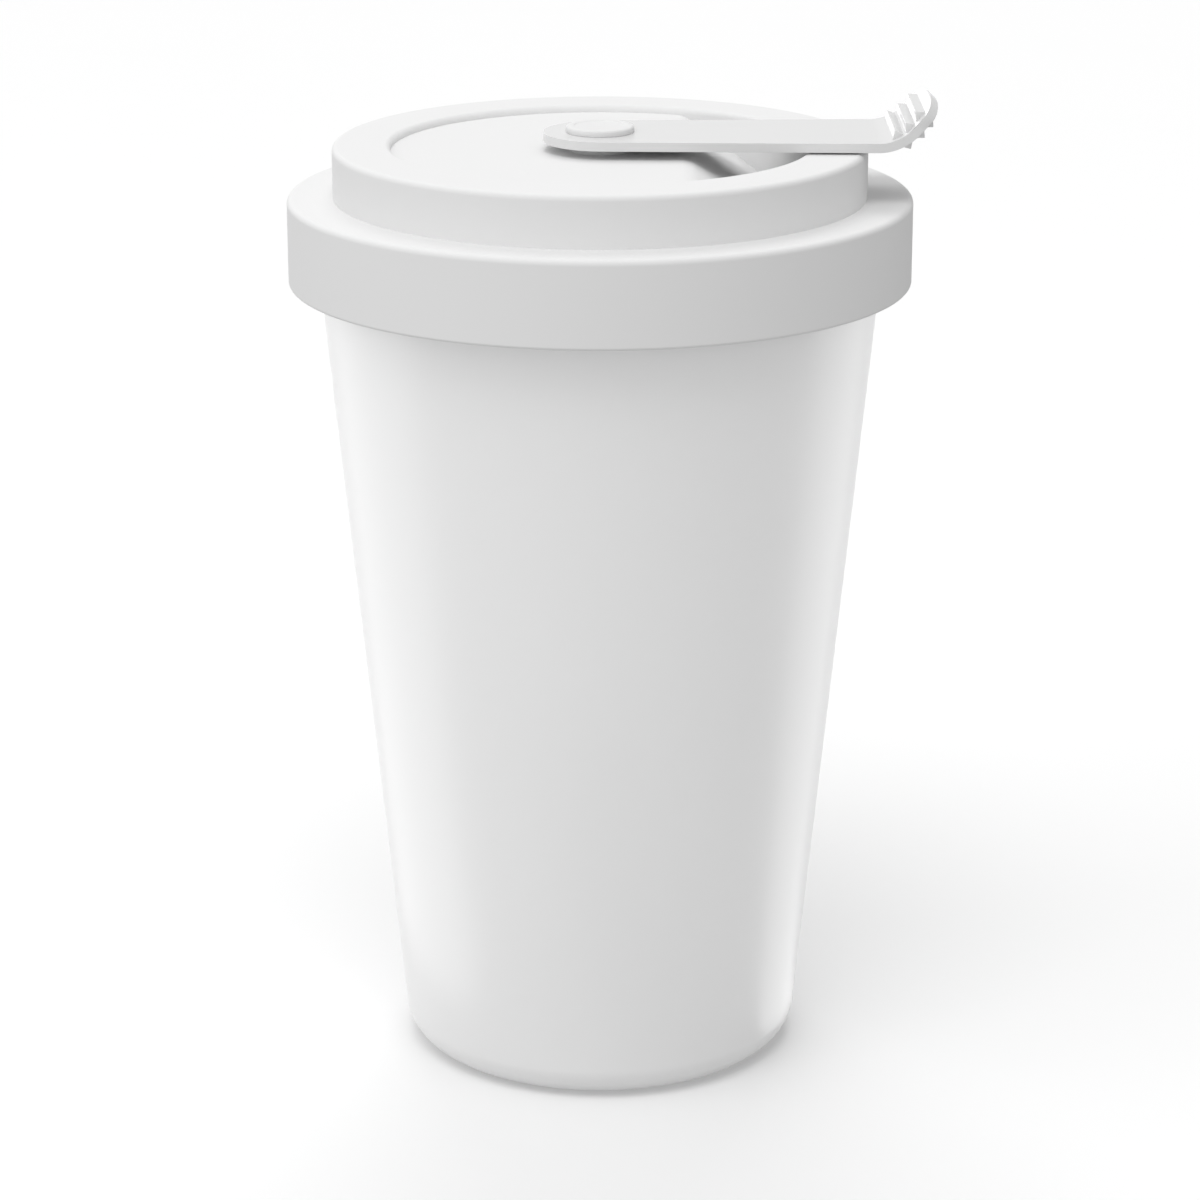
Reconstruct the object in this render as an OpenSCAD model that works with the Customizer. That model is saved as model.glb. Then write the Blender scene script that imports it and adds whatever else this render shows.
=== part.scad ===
// Thermal travel mug: a double-walled tapered cup with a push-on lid.
// A flat lever on the lid swings sideways about a central pin and turns a
// shutter under the lid, which covers or uncovers the drink slot.
// Millimetres, +Z up. The origin is on the cup's axis at the standing plane,
// and the lever points along +X.

/* [Cup] */
// Height of the cup's rim above the standing plane
cup_h = 132.8; // [110:0.1:170]
// Radius of the outer wall's line at the standing plane
cup_foot_r = 30.65; // [28:0.05:34]
// Radius of the outer wall at its top
cup_mouth_r = 43.55; // [42:0.05:48]
// Radius of the rounded bottom corner
cup_corner_r = 5.7; // [3:0.1:8]
// Thickness of the outer wall
shell_wall = 2; // [1.5:0.1:2.5]
// Thickness of the outer shell's floor above the standing plane
shell_floor = 3.2; // [2.5:0.1:5]
// Inner radius of the foot ring
foot_inner_r = 20; // [10:0.5:22]
// Depth of the hollow inside the foot ring
foot_recess = 1; // [0.5:0.1:1.2]
// Width of the air gap between the walls
air_gap = 3; // [2:0.1:3.5]
// Thickness of the steel liner
liner_wall = 0.6; // [0.4:0.05:1]
// Inside corner radius of the liner
liner_corner_r = 6; // [4:0.5:10]

/* [Lid] */
// Wall thickness of the lid moulding
lid_wall = 2.2; // [1.6:0.1:2.4]
// Height of the wide band
band_h = 13.1; // [10:0.1:18]
// Space between the cup's mouth and the inside of the band
band_clear = 1.75; // [1:0.05:3]
// Rounding of the band's top edge
band_edge_r = 0.9; // [0.3:0.1:1.5]
// Rounding of the band's bottom edge
band_foot_r = 0.5; // [0.2:0.1:1]
// Width of the shoulder between band and ring
shoulder_w = 6.95; // [5:0.05:9]
// Height of the ring above the shoulder
ring_h = 7.8; // [6:0.1:12]
// Width of the ring's flat top
rim_w = 8.85; // [7:0.05:10]
// Rounding of the ring's outer top edge
ring_edge_r = 0.9; // [0.3:0.1:1.5]
// Rounding of the ring's inner top edge
rim_inner_edge_r = 0.4; // [0.2:0.1:0.8]

/* [Recess] */
// Depth of the deck below the ring's top
deck_drop = 1.1; // [0.6:0.1:2]
// Distance from the pivot to the deck's straight edge
deck_edge_x = 13.4; // [12:0.1:16]
// Rounding of the deck's straight edge
deck_edge_r = 4; // [0.5:0.1:5]
// Slope of the ramp that leads down to the drink slot
ramp_deg = 32.6; // [28:0.2:45]
// Depth of the trough below the ring's top
trough_drop = 9.2; // [7:0.1:10]
// Width of the drink slot
slot_w = 4.6; // [4.2:0.1:5]
// Half of the angle that the drink slot's centre line spans
slot_half_deg = 13; // [8:0.5:16]
// Strip of floor between the drink slot and the recess wall
slot_edge = 0.8; // [0.5:0.1:1.2]
// Width of the raised lip round the slot on the underside
seat_lip_w = 1.6; // [1:0.1:2]
// Height of the raised lip round the slot on the underside
seat_lip_h = 0.4; // [0.2:0.1:0.6]
// Radius of the vent holes
vent_r = 0.8; // [0.5:0.1:1.2]
// Angle of each vent hole from the lever's line
vent_deg = 30; // [26:1:40]

/* [Plug and gasket] */
// Thickness of the insert's flange, which rests on the cup's rim
flange_t = 1.7; // [1.2:0.1:2.4]
// Depth of the plug below the cup's rim
plug_depth = 10.8; // [9:0.1:14]
// Thickness of the plug's skirt
skirt_wall = 1.8; // [1.2:0.1:2]
// Gap between the skirt and the liner
skirt_gap = 1.5; // [1.2:0.1:2]
// Gap between the gasket's ribs and the liner
rib_gap = 0.5; // [0.4:0.05:0.8]
// Thickness of each gasket rib
rib_t = 1.2; // [0.8:0.1:1.6]
// Height of the gasket
gasket_h = 4; // [3:0.1:4.6]
// Height of the lower rib above the plug's bottom edge
rib_lift = 1.2; // [0.6:0.1:2]
// Gap left between the gasket's lips and the liner
lip_gap = 0.3; // [0.3:0.05:0.4]

/* [Lever] */
// Thickness of the lever's plate
lever_t = 1.4; // [1.2:0.1:2]
// Half of the lever's width at the pivot
lever_pivot_half = 9.1; // [8:0.1:10]
// Half of the lever's width at the thumb tab
lever_tab_half = 10.3; // [9.5:0.1:11]
// Distance of the round end's centre from the pivot
lever_end_x = 0.5; // [0:0.1:1.5]
// Distance that the lever runs past the ring before it bends
tab_overhang = 0.9; // [0.5:0.1:4]
// Inside radius of the bend
bend_r = 6.9; // [5:0.1:10]
// Angle that the tab is bent up to
bend_deg = 47.4; // [30:0.2:60]
// Length of the tab along its top face
tab_len = 10.46; // [9.6:0.02:13]
// Length of the tab's rounded end
tab_round_len = 2.43; // [1.5:0.01:4]
// Angle that the lever swings to each side
lever_swing = 50; // [30:1:55]

/* [Thumb teeth] */
// Number of teeth on each face of the tab
tooth_count = 3; // [2:1:3]
// Distance from the start of the bend to the first tooth's ridge
tooth_start = 3.1; // [2.5:0.05:3.6]
// Distance from one ridge to the next
tooth_pitch = 2.24; // [2:0.02:2.3]
// Width of a tooth at its foot
tooth_w = 1.95; // [1.4:0.05:2]
// Height of a tooth
tooth_h = 1.1; // [0.6:0.05:1.3]
// Half of a tooth's length at its foot
tooth_half = 8.9; // [7.5:0.1:9.2]
// Distance from the start of the bend to the first tooth on the underside
under_tooth_start = 3.8; // [3:0.05:4]
// Distance from one ridge to the next on the underside, along the top face
under_tooth_pitch = 1.96; // [1.7:0.02:2.1]
// Amount by which the last tooth is shorter at each end
tooth_last_short = 0.9; // [0.5:0.1:2]
// Distance by which the ridge stays behind the foot at each end
tooth_hip = 0.6; // [0.3:0.1:1.2]

/* [Pivot] */
// Radius of the pin's shaft
pin_r = 3.2; // [2.8:0.05:3.6]
// Radius of the pin's head
pin_head_r = 5.2; // [4.8:0.05:6]
// Height of the pin's head
pin_head_h = 0.95; // [0.8:0.05:1.6]
// Rounding of the head's edge
pin_head_edge_r = 0.4; // [0.2:0.05:0.5]
// Radius of the shallow dish in the head
pin_dish_r = 4; // [3:0.1:4.3]
// Depth of the shallow dish in the head
pin_dish_depth = 0.12; // [0.05:0.01:0.3]
// Distance across the pin's flats, halved
pin_flat_half = 2.5; // [2.2:0.05:2.6]
// Radius of the boss on the deck
deck_boss_r = 4.6; // [4.2:0.1:5.5]
// Radius of the boss under the deck
boss_r = 5.6; // [5:0.1:6]
// Height of the lower boss's end above the slot's seat
boss_above_seat = 1.3; // [1:0.1:2]
// Depth of the sealing ring's groove
groove_depth = 1.1; // [0.8:0.05:1.3]
// Distance from the boss's lower end to the middle of the groove
groove_lift = 3.5; // [2:0.1:5]
// Radius of the stop posts
stop_r = 1.5; // [1.2:0.1:1.8]
// Distance of the stop posts from the pivot
stop_ring_r = 9; // [8.6:0.1:10]

/* [Shutter] */
// Radius of the shutter's hub
hub_r = 6; // [5.4:0.1:6.5]
// Thickness of the shutter's arm
arm_t = 1.8; // [1.4:0.1:2.6]
// Half of the arm's width
arm_half = 4; // [3:0.1:4.4]
// Thickness of the seal pad
seal_t = 1.2; // [0.8:0.1:1.6]
// Distance that the seal pad reaches past the slot's edge
seal_margin = 2; // [1.6:0.1:2.2]
// Radius of the seal pad's peg
seal_peg_r = 1.5; // [1:0.1:1.8]
// Radius of the screw's shank
screw_r = 1.2; // [1:0.05:1.4]
// Radius of the screw's head
screw_head_r = 4.4; // [3.8:0.1:5]
// Height of the screw's head
screw_head_h = 1.8; // [1.6:0.1:2.4]
// Length of the screw's shank
screw_len = 8; // [6:0.5:10]

/* [Fits] */
// Gap between the lever and what it lies on
lever_gap = 0.3; // [0.2:0.05:0.4]
// Gap between the seal pad and the slot's lip
seal_gap = 0.3; // [0.2:0.05:0.4]
// Gap between the hub and the end of the boss
hub_gap = 0.3; // [0.2:0.05:0.4]
// Gap between the arm and a stop post at the end of the swing
stop_gap = 0.3; // [0.2:0.05:0.4]
// Radial clearance of the pin in its bore
pin_fit = 0.05; // [0.02:0.01:0.1]
// Clearance between parts that are assembled and don't move
part_fit = 0.05; // [0.03:0.01:0.1]
// Radial clearance of the insert in the lid moulding
insert_fit = 0.25; // [0.15:0.05:0.4]

/* [Hidden] */
$fn = 96;
over = 1;

// Heights, from the standing plane up
shell_h = cup_h - liner_wall;
liner_floor = shell_floor + air_gap;
band_top = cup_h + flange_t + lid_wall;
band_bottom = band_top - band_h;
lid_top = band_top + ring_h;
deck_z = lid_top - deck_drop;
deck_under = deck_z - lid_wall;
trough_z = lid_top - trough_drop;
trough_under = trough_z - lid_wall;
seat_z = trough_under - seat_lip_h;
lever_z = lid_top + lever_gap;
lever_top = lever_z + lever_t;
seal_top = seat_z - seal_gap;
seal_z = seal_top - seal_t;
arm_z = seal_z - arm_t;
boss_end = seat_z + boss_above_seat;
hub_top = boss_end - hub_gap;
plug_z = cup_h - plug_depth;

// Radii, from the cup's wall inwards and outwards
wall_slope = (cup_mouth_r - cup_foot_r) / shell_h;
liner_inset = shell_wall + air_gap + liner_wall;
band_inner_r = cup_mouth_r + band_clear;
band_r = band_inner_r + lid_wall;
ring_r = band_r - shoulder_w;
recess_r = ring_r - rim_w;
recess_outer_r = recess_r + lid_wall;
insert_outer_r = band_inner_r - insert_fit;
insert_inner_r = recess_outer_r + insert_fit;
slot_mid_r = recess_r - slot_edge - slot_w / 2;
bore_r = pin_r + pin_fit;
carrier_deg = slot_half_deg + asin((slot_w / 2 + seal_margin) / slot_mid_r);

// The ramp, in the plane of the lever's line
trough_x = deck_edge_x + (deck_z - trough_z) / tan(ramp_deg);
under_shift = lid_wall * tan(ramp_deg / 2);
edge_centre_x = deck_edge_x - deck_edge_r * tan(ramp_deg / 2);
edge_centre_z = deck_z - deck_edge_r;

// The tab, as length along its top face
tab_x = ring_r + tab_overhang;
bend_len = bend_r * bend_deg * PI / 180;
stop_deg = lever_swing + asin((arm_half + stop_r + stop_gap) / stop_ring_r);

// The gasket's groove
rib_low_z = plug_z + rib_lift;
gasket_z = rib_low_z + rib_t + part_fit;
rib_high_z = gasket_z + gasket_h + part_fit;

// The pin's sealing ring
groove_r = pin_r - groove_depth;
ring_section_r = (pin_r - groove_r) / 2;
groove_z = boss_end + groove_lift;

// Radius of the cup's outer wall at height z
function wall_r(z) = cup_foot_r + wall_slope * z;

// Radius of the liner's inner wall at height z
function liner_r(z) = wall_r(z) - liner_inset;

// A point on the tab's face: s along the top face, off below it
function tab_angle(s) = s < bend_len ? s / bend_r * 180 / PI : bend_deg;
function tab_run(s) = max(0, s - bend_len);
function tab_px(s, off) = tab_x + (bend_r + off) * sin(tab_angle(s)) + tab_run(s) * cos(bend_deg);
function tab_pz(s, off) = lever_top + bend_r - (bend_r + off) * cos(tab_angle(s)) + tab_run(s) * sin(bend_deg);

// Rounds a square corner at (x, y). The material lies on the side away from (sx, sy).
module corner_cut(x, y, r, sx, sy) {
    translate([x - sx * r, y - sy * r])
        difference() {
            translate([sx > 0 ? 0 : -r - over, sy > 0 ? 0 : -r - over])
                square(r + over);
            circle(r);
        }
}

// Half section of a tapered cup: base radius, floor height, top height, corner radius
module cup_section(base_r, z0, z1, r) {
    tilt = atan(wall_slope);
    cx = base_r + wall_slope * (z0 + r) - r / cos(tilt);
    polygon([
        [0, z0],
        [cx, z0],
        [cx + r * cos(tilt), z0 + r - r * sin(tilt)],
        [base_r + wall_slope * z1, z1],
        [0, z1]
    ]);
    translate([cx, z0 + r])
        circle(r);
}

// Plan of a band along the drink slot's arc: half its width, half of its angle
module arc_band(half, half_deg) {
    far = 2 * slot_mid_r;
    intersection() {
        difference() {
            circle(slot_mid_r + half);
            circle(slot_mid_r - half);
        }
        polygon([
            [0, 0],
            [far * cos(half_deg), -far * sin(half_deg)],
            [far * cos(half_deg), far * sin(half_deg)]
        ]);
    }
}

// Plan of the drink slot, grown outwards by grow
module arc_slot(grow) {
    half = slot_w / 2 + grow;
    arc_band(half, slot_half_deg);
    for (side = [-1, 1])
        rotate(side * slot_half_deg)
            translate([slot_mid_r, 0])
                circle(half);
}

// Draws a section in the plane of the lever's line and stretches it across the lid
module across(width) {
    rotate([90, 0, 0])
        linear_extrude(height = width, center = true)
            children();
}

// Shaft with two flats, along Z from z0 to z1
module flatted(r, flat_half, z0, z1) {
    intersection() {
        translate([0, 0, z0])
            cylinder(r = r, h = z1 - z0);
        translate([-r - over, -flat_half, z0 - over])
            cube([2 * (r + over), 2 * flat_half, z1 - z0 + 2 * over]);
    }
}

// Cup

module outer_shell() {
    color([0.96, 0.96, 0.96])
        rotate_extrude()
            difference() {
                cup_section(cup_foot_r, 0, shell_h, cup_corner_r);
                cup_section(cup_foot_r - shell_wall, shell_floor, shell_h + over,
                    max(cup_corner_r - shell_wall, 1));
                polygon([
                    [-over, -over],
                    [foot_inner_r + over, -over],
                    [foot_inner_r - foot_recess, foot_recess],
                    [-over, foot_recess]
                ]);
            }
}

module inner_liner() {
    outer_line = cup_foot_r - shell_wall - air_gap;
    flange_r = cup_mouth_r - insert_fit;
    mouth_r = liner_r(shell_h);
    color([0.75, 0.76, 0.78])
        rotate_extrude()
            difference() {
                union() {
                    cup_section(outer_line, liner_floor, shell_h, liner_corner_r + liner_wall);
                    translate([0, shell_h])
                        square([flange_r, liner_wall]);
                }
                cup_section(outer_line - liner_wall, liner_floor + liner_wall, cup_h + over, liner_corner_r);
                corner_cut(flange_r, cup_h, liner_wall / 2, 1, 1);
            }
}

// Lid

module lid_outside() {
    rotate_extrude()
        difference() {
            union() {
                translate([0, band_bottom])
                    square([band_r, band_h]);
                translate([0, band_bottom])
                    square([ring_r, lid_top - band_bottom]);
            }
            corner_cut(band_r, band_bottom, band_foot_r, 1, -1);
            corner_cut(band_r, band_top, band_edge_r, 1, 1);
            corner_cut(ring_r, lid_top, ring_edge_r, 1, 1);
        }
}

module lid_inside() {
    rotate_extrude() {
        translate([0, band_bottom - over])
            square([band_inner_r, band_top - lid_wall - band_bottom + over]);
        translate([0, band_bottom - over])
            square([ring_r - lid_wall, lid_top - lid_wall - band_bottom + over]);
    }
}

// The air above the deck, the ramp and the trough
module recess_air() {
    intersection() {
        translate([0, 0, trough_z - over])
            cylinder(r = recess_r, h = trough_drop + 2 * over);
        across(2 * ring_r)
            difference() {
                polygon([
                    [-ring_r, lid_top + 2 * over],
                    [-ring_r, deck_z],
                    [edge_centre_x, deck_z],
                    [edge_centre_x + deck_edge_r * sin(ramp_deg), edge_centre_z + deck_edge_r * cos(ramp_deg)],
                    [trough_x, trough_z],
                    [ring_r, trough_z],
                    [ring_r, lid_top + 2 * over]
                ]);
                translate([edge_centre_x, edge_centre_z])
                    circle(deck_edge_r);
            }
    }
    rotate_extrude()
        corner_cut(recess_r, lid_top, rim_inner_edge_r, -1, 1);
}

// The walls and floor of the recess, seen from below
module recess_block() {
    intersection() {
        translate([0, 0, trough_under])
            cylinder(r = recess_outer_r, h = lid_top - trough_under);
        across(2 * ring_r)
            polygon([
                [-ring_r, lid_top],
                [-ring_r, deck_under],
                [deck_edge_x - under_shift, deck_under],
                [trough_x - under_shift, trough_under],
                [ring_r, trough_under],
                [ring_r, lid_top]
            ]);
    }
}

// Boss and stop posts under the deck, and the lip round the drink slot
module lid_underparts() {
    translate([0, 0, boss_end])
        cylinder(r = boss_r, h = deck_z - boss_end);
    for (side = [-1, 1])
        rotate(side * stop_deg) {
            translate([stop_ring_r, 0, arm_z])
                cylinder(r = stop_r, h = deck_z - arm_z);
            translate([0, -stop_r / 2, boss_end])
                cube([stop_ring_r, stop_r, deck_z - boss_end]);
        }
    translate([0, 0, seat_z])
        linear_extrude(height = trough_z - seat_z)
            arc_slot(seat_lip_w);
}

module lid_shell() {
    color([0.95, 0.95, 0.95])
        difference() {
            union() {
                difference() {
                    lid_outside();
                    lid_inside();
                }
                difference() {
                    union() {
                        recess_block();
                        lid_underparts();
                    }
                    recess_air();
                }
                translate([0, 0, deck_z - over])
                    cylinder(r = deck_boss_r, h = deck_drop + over);
            }
            difference() {
                recess_air();
                translate([0, 0, deck_z - over])
                    cylinder(r = deck_boss_r, h = deck_drop + over);
            }
            translate([0, 0, boss_end - over])
                cylinder(r = bore_r, h = lid_top - boss_end + 2 * over);
            translate([0, 0, seat_z - over])
                linear_extrude(height = lid_top - seat_z)
                    arc_slot(0);
            for (side = [-1, 1])
                rotate(side * vent_deg)
                    translate([slot_mid_r, 0, seat_z - over])
                        cylinder(r = vent_r, h = lid_top - seat_z);
        }
}

module lid_insert() {
    skirt_low_r = liner_r(plug_z) - skirt_gap;
    skirt_high_r = liner_r(cup_h) - skirt_gap;
    color([0.9, 0.9, 0.9])
        rotate_extrude() {
            translate([insert_inner_r, cup_h])
                square([insert_outer_r - insert_inner_r, flange_t]);
            polygon([
                [skirt_low_r - skirt_wall, plug_z],
                [skirt_low_r, plug_z],
                [skirt_high_r, cup_h],
                [skirt_high_r, cup_h + flange_t / 2],
                [skirt_high_r - skirt_wall, cup_h + flange_t / 2],
                [skirt_high_r - skirt_wall, cup_h]
            ]);
            for (z = [rib_low_z, rib_high_z])
                translate([liner_r(z) - skirt_gap - skirt_wall / 2, z])
                    square([skirt_gap + skirt_wall / 2 - rib_gap, rib_t]);
        }
}

module lid_gasket() {
    z0 = gasket_z;
    z1 = gasket_z + gasket_h;
    foot_r = liner_r(z1) - skirt_gap + part_fit;
    body_r = liner_r(z0) - rib_gap;
    lip_r = liner_r(z0) - lip_gap;
    color([0.82, 0.82, 0.82])
        rotate_extrude()
            polygon([
                [foot_r, z0],
                [body_r, z0],
                [lip_r, z0 + gasket_h * 0.15],
                [body_r, z0 + gasket_h * 0.35],
                [body_r, z0 + gasket_h * 0.6],
                [lip_r, z0 + gasket_h * 0.8],
                [body_r, z1],
                [foot_r, z1]
            ]);
}

// Lever

// Half of the tab's width at distance s along it
function tab_half(s) = let (u = max(0, s - (tab_len - tab_round_len)) / tab_round_len)
    lever_tab_half * sqrt(max(0, 1 - u * u));

module lever_plate() {
    translate([0, 0, lever_z])
        linear_extrude(height = lever_t) {
            translate([lever_end_x, 0])
                circle(lever_pivot_half);
            polygon([
                [lever_end_x, -lever_pivot_half],
                [tab_x, -lever_tab_half],
                [tab_x, lever_tab_half],
                [lever_end_x, lever_pivot_half]
            ]);
        }
}

module lever_bend() {
    translate([tab_x, 0, lever_top + bend_r])
        rotate([90, 0, 0])
            rotate([0, 0, -90])
                rotate_extrude(angle = bend_deg)
                    translate([bend_r, -lever_tab_half])
                        square([lever_t, 2 * lever_tab_half]);
}

module lever_tip() {
    steps = 24;
    run = tab_len - bend_len;
    straight = run - tab_round_len;
    outline = [for (i = [-steps:steps]) let (a = 90 * i / steps)
        [straight + tab_round_len * cos(a), lever_tab_half * sin(a)]];
    translate([tab_px(bend_len, 0), 0, tab_pz(bend_len, 0)])
        rotate([0, -bend_deg, 0])
            translate([0, 0, -lever_t])
                linear_extrude(height = lever_t)
                    polygon(concat([[0, lever_tab_half], [0, -lever_tab_half]], outline));
}

// One tooth with sloping ends, standing on z = 0 with its ridge along Y
module tooth(half) {
    sink = 0.3;
    intersection() {
        across(2 * half)
            polygon([
                [-tooth_w / 2, -sink],
                [tooth_w / 2, -sink],
                [tooth_w / 2, 0],
                [0, tooth_h],
                [-tooth_w / 2, 0]
            ]);
        rotate([90, 0, 90])
            linear_extrude(height = 2 * tooth_w, center = true)
                polygon([
                    [-half, -sink],
                    [half, -sink],
                    [half, 0],
                    [half - tooth_hip, tooth_h],
                    [-half + tooth_hip, tooth_h],
                    [-half, 0]
                ]);
    }
}

module lever_teeth() {
    for (i = [0:tooth_count - 1]) {
        s = tooth_start + i * tooth_pitch;
        under_s = under_tooth_start + i * under_tooth_pitch;
        half = tooth_half - (i == tooth_count - 1 ? tooth_last_short : 0);
        translate([tab_px(s, 0), 0, tab_pz(s, 0)])
            rotate([0, -tab_angle(s), 0])
                tooth(half);
        translate([tab_px(under_s, lever_t), 0, tab_pz(under_s, lever_t)])
            rotate([0, 180 - tab_angle(under_s), 0])
                tooth(half);
    }
}

module lever() {
    color([0.93, 0.93, 0.93])
        difference() {
            union() {
                lever_plate();
                lever_bend();
                lever_tip();
                lever_teeth();
            }
            flatted(bore_r, pin_flat_half + part_fit, lever_z - over, lever_top + over);
        }
}

// Pin and what turns with it

module pivot_pin() {
    color([0.95, 0.95, 0.95])
        difference() {
            union() {
                rotate_extrude()
                    difference() {
                        translate([0, lever_top])
                            square([pin_head_r, pin_head_h]);
                        corner_cut(pin_head_r, lever_top + pin_head_h, pin_head_edge_r, 1, 1);
                    }
                translate([0, 0, boss_end])
                    cylinder(r = pin_r, h = lid_top - boss_end);
                flatted(pin_r, pin_flat_half, lid_top - over, lever_top + over / 2);
                flatted(pin_r, pin_flat_half, arm_z + part_fit, boss_end + over);
            }
            translate([0, 0, lever_top + pin_head_h - pin_dish_depth])
                cylinder(r = pin_dish_r, h = over);
            translate([0, 0, groove_z - ring_section_r - part_fit])
                difference() {
                    cylinder(r = pin_r + over, h = 2 * (ring_section_r + part_fit));
                    cylinder(r = groove_r, h = 2 * (ring_section_r + part_fit));
                }
            translate([0, 0, arm_z])
                cylinder(r = screw_r + part_fit, h = screw_len + 2 * part_fit);
        }
}

module pin_seal_ring() {
    color([0.2, 0.2, 0.2])
        translate([0, 0, groove_z])
            rotate_extrude()
                translate([groove_r + part_fit / 2 + ring_section_r, 0])
                    circle(ring_section_r);
}

module shutter() {
    color([0.9, 0.9, 0.9])
        difference() {
            union() {
                translate([0, 0, arm_z])
                    linear_extrude(height = arm_t) {
                        circle(hub_r);
                        translate([0, -arm_half])
                            square([slot_mid_r, 2 * arm_half]);
                        arc_band(slot_w / 2 + seal_margin, carrier_deg);
                    }
                translate([0, 0, arm_z + arm_t])
                    cylinder(r = hub_r, h = hub_top - arm_z - arm_t);
            }
            flatted(bore_r, pin_flat_half + part_fit, arm_z - over, hub_top + over);
            translate([slot_mid_r, 0, arm_z - over])
                cylinder(r = seal_peg_r + part_fit, h = arm_t + 2 * over);
        }
}

module shutter_seal() {
    color([0.8, 0.8, 0.8]) {
        translate([0, 0, seal_z])
            linear_extrude(height = seal_t)
                arc_slot(seal_margin);
        translate([slot_mid_r, 0, arm_z])
            cylinder(r = seal_peg_r, h = arm_t + seal_t / 2);
    }
}

module pin_screw() {
    cross_len = screw_head_r;
    cross_w = screw_head_r / 6;
    cross_depth = screw_head_h / 2;
    color([0.7, 0.7, 0.72])
        difference() {
            union() {
                translate([0, 0, arm_z - screw_head_h])
                    cylinder(r = screw_head_r, h = screw_head_h);
                translate([0, 0, arm_z - screw_head_h])
                    cylinder(r = screw_r, h = screw_head_h + screw_len);
            }
            for (turn = [0, 90])
                rotate(turn)
                    translate([-cross_len / 2, -cross_w / 2, arm_z - screw_head_h - over])
                        cube([cross_len, cross_w, over + cross_depth]);
        }
}

outer_shell();
inner_liner();
lid_shell();
lid_insert();
lid_gasket();
lever();
pivot_pin();
pin_seal_ring();
shutter();
shutter_seal();
pin_screw();
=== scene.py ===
"""Thermal travel mug: models its cup, lid, lever and inner parts over their CAD frame."""

import math

import bmesh
import bpy
from mathutils import Matrix, Vector


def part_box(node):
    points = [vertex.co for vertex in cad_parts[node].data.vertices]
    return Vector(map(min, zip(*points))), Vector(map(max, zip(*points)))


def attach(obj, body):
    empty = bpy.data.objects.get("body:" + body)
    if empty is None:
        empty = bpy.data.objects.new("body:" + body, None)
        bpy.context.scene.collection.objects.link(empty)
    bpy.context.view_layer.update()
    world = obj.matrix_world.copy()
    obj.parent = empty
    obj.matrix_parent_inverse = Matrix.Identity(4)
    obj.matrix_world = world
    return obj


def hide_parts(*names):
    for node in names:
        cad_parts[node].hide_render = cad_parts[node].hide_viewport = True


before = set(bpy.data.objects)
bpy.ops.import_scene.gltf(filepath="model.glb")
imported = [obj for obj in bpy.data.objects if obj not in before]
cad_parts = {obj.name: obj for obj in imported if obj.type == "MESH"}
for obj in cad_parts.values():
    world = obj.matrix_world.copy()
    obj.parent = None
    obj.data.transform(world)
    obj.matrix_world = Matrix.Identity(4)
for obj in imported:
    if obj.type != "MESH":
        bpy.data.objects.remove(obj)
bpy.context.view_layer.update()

bl_info = {
    "name": "Thermal Travel Mug",
    "version": (1, 0, 0),
    "blender": (4, 5, 0),
    "location": "View3D > Sidebar > Mug",
    "description": "Models the cup, lid, lever and inner parts of a thermal travel mug over its CAD frame",
    "category": "Add Mesh",
}

MM = 0.001
FULL_TURN = 2 * math.pi
MERGE = 1e-7  # distance in metres below which two points are one
SHARP_ANGLE = math.radians(35.0)  # edges that turn more than this stay sharp or are softened

# Where pieces meet, in millimetres and degrees from the pivot.
SLOT_RADIUS, SLOT_HALF_WIDTH, SLOT_HALF_ANGLE = 28.6, 2.3, 13.0
VENT_RADIUS, VENT_ANGLE = 0.8, 30.0
BORE_RADIUS, BORE_FLAT_HALF = 3.25, 2.55
LEVER_TOP = 146.2


# Colours and node helpers


def linear(hex_colour):
    """Turns an sRGB hex colour into the linear values that the shaders take."""
    parts = [int(hex_colour[i:i + 2], 16) / 255 for i in (1, 3, 5)]
    return tuple(c / 12.92 if c <= 0.04045 else ((c + 0.055) / 1.055) ** 2.4 for c in parts)


def add_node(tree, kind, settings=None, values=None, links=None):
    """Adds a node: its settings, the values of its sockets, and the outputs that feed its sockets."""
    made = tree.nodes.new(kind)
    for key, value in (settings or {}).items():
        setattr(made, key, value)
    for key, value in (values or {}).items():
        made.inputs[key].default_value = value
    for key, source in (links or {}).items():
        tree.links.new(source, made.inputs[key])
    return made


def new_material(name):
    """An empty node material, its node tree and its output node."""
    material = bpy.data.materials.new(name)
    material.use_nodes = True
    material.node_tree.nodes.clear()
    return material, material.node_tree, add_node(material.node_tree, "ShaderNodeOutputMaterial")


def noise(tree, place, grain, detail, roughness):
    """Noise with grains of this width in metres. One grain is about half of a period."""
    values = {"Scale": 0.5 / grain, "Detail": detail, "Roughness": roughness}
    return add_node(tree, "ShaderNodeTexNoise", values=values, links={"Vector": place})


def blend(tree, first, second, factor):
    """A colour that goes from the first to the second with the factor."""
    return add_node(tree, "ShaderNodeMix", {"data_type": "RGBA"}, {"A": (*first, 1.0), "B": (*second, 1.0)},
                    {"Factor": factor})


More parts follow.
